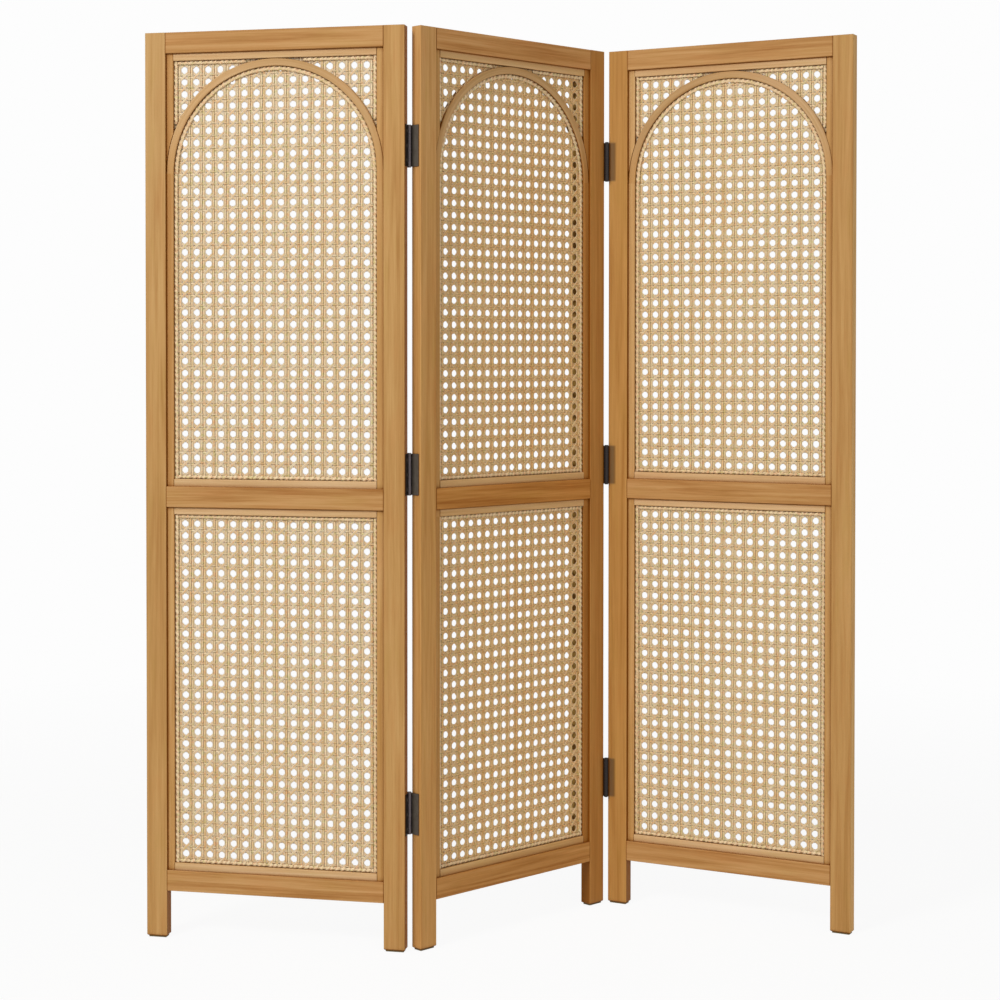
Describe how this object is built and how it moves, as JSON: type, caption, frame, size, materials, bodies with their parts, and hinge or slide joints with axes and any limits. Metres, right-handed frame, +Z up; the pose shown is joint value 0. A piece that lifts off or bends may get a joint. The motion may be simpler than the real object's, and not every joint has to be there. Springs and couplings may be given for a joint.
{
  "type": "folding screen",
  "caption": "Folding room screen: hinged wooden frames filled with woven cane webbing, each upper opening crossed by a bent arch strip, standing on its own legs.",
  "frame": {"origin": "on the floor, in the middle of the standing screen's bounding box", "axes": "+X across the screen to the right as seen from its arch side, +Y to the back, +Z up"},
  "size_m": [1.3392, 0.3738, 1.7],
  "materials": {
    "frame_wood": "satin honey-coloured wood with straight grain",
    "bead_wood": "pale satin wood strips",
    "cane": "natural woven cane, slightly glossy",
    "hinge_metal": "dark bronze, semi-matt",
    "foot_pad": "dark matt"
  },
  "bodies": {
    "center_panel": {"center_panel_left_stile": "frame_wood", "center_panel_right_stile": "frame_wood", "center_panel_top_rail": "frame_wood", "center_panel_middle_rail": "frame_wood", "center_panel_bottom_rail": "frame_wood", "center_panel_upper_cane": "cane", "center_panel_lower_cane": "cane", "center_panel_inner_frame": "frame_wood", "center_panel_edging": "cane", "center_panel_upper_beads": "bead_wood", "center_panel_lower_beads": "bead_wood", "center_panel_arch": "bead_wood", "center_panel_backing_arch": "frame_wood", "center_panel_foot_pads": "foot_pad", "left_hinge_top_center_leaf": "hinge_metal", "left_hinge_middle_center_leaf": "hinge_metal", "left_hinge_bottom_center_leaf": "hinge_metal", "left_hinge_pins": "hinge_metal", "right_hinge_top_center_leaf": "hinge_metal", "right_hinge_middle_center_leaf": "hinge_metal", "right_hinge_bottom_center_leaf": "hinge_metal", "right_hinge_pins": "hinge_metal", "center_panel_hinge_screws": "hinge_metal"},
    "left_panel": {"left_panel_left_stile": "frame_wood", "left_panel_right_stile": "frame_wood", "left_panel_top_rail": "frame_wood", "left_panel_middle_rail": "frame_wood", "left_panel_bottom_rail": "frame_wood", "left_panel_upper_cane": "cane", "left_panel_lower_cane": "cane", "left_panel_inner_frame": "frame_wood", "left_panel_edging": "cane", "left_panel_upper_beads": "bead_wood", "left_panel_lower_beads": "bead_wood", "left_panel_arch": "bead_wood", "left_panel_backing_arch": "frame_wood", "left_panel_foot_pads": "foot_pad", "left_hinge_top_outer_leaf": "hinge_metal", "left_hinge_middle_outer_leaf": "hinge_metal", "left_hinge_bottom_outer_leaf": "hinge_metal", "left_panel_hinge_screws": "hinge_metal"},
    "right_panel": {"right_panel_left_stile": "frame_wood", "right_panel_right_stile": "frame_wood", "right_panel_top_rail": "frame_wood", "right_panel_middle_rail": "frame_wood", "right_panel_bottom_rail": "frame_wood", "right_panel_upper_cane": "cane", "right_panel_lower_cane": "cane", "right_panel_inner_frame": "frame_wood", "right_panel_edging": "cane", "right_panel_upper_beads": "bead_wood", "right_panel_lower_beads": "bead_wood", "right_panel_arch": "bead_wood", "right_panel_backing_arch": "frame_wood", "right_panel_foot_pads": "foot_pad", "right_hinge_top_outer_leaf": "hinge_metal", "right_hinge_middle_outer_leaf": "hinge_metal", "right_hinge_bottom_outer_leaf": "hinge_metal", "right_panel_hinge_screws": "hinge_metal"}
  },
  "joints": [
    {"name": "left_fold", "type": "hinge", "parent": "center_panel", "child": "left_panel", "pos_m": [-0.17352, -0.15949, 0], "axis": [0, 0, 1], "range_deg": [-124, 56]},
    {"name": "right_fold", "type": "hinge", "parent": "center_panel", "child": "right_panel", "pos_m": [0.21519, 0.16307, 0], "axis": [0, 0, 1], "range_deg": [-108, 72]}
  ]
}
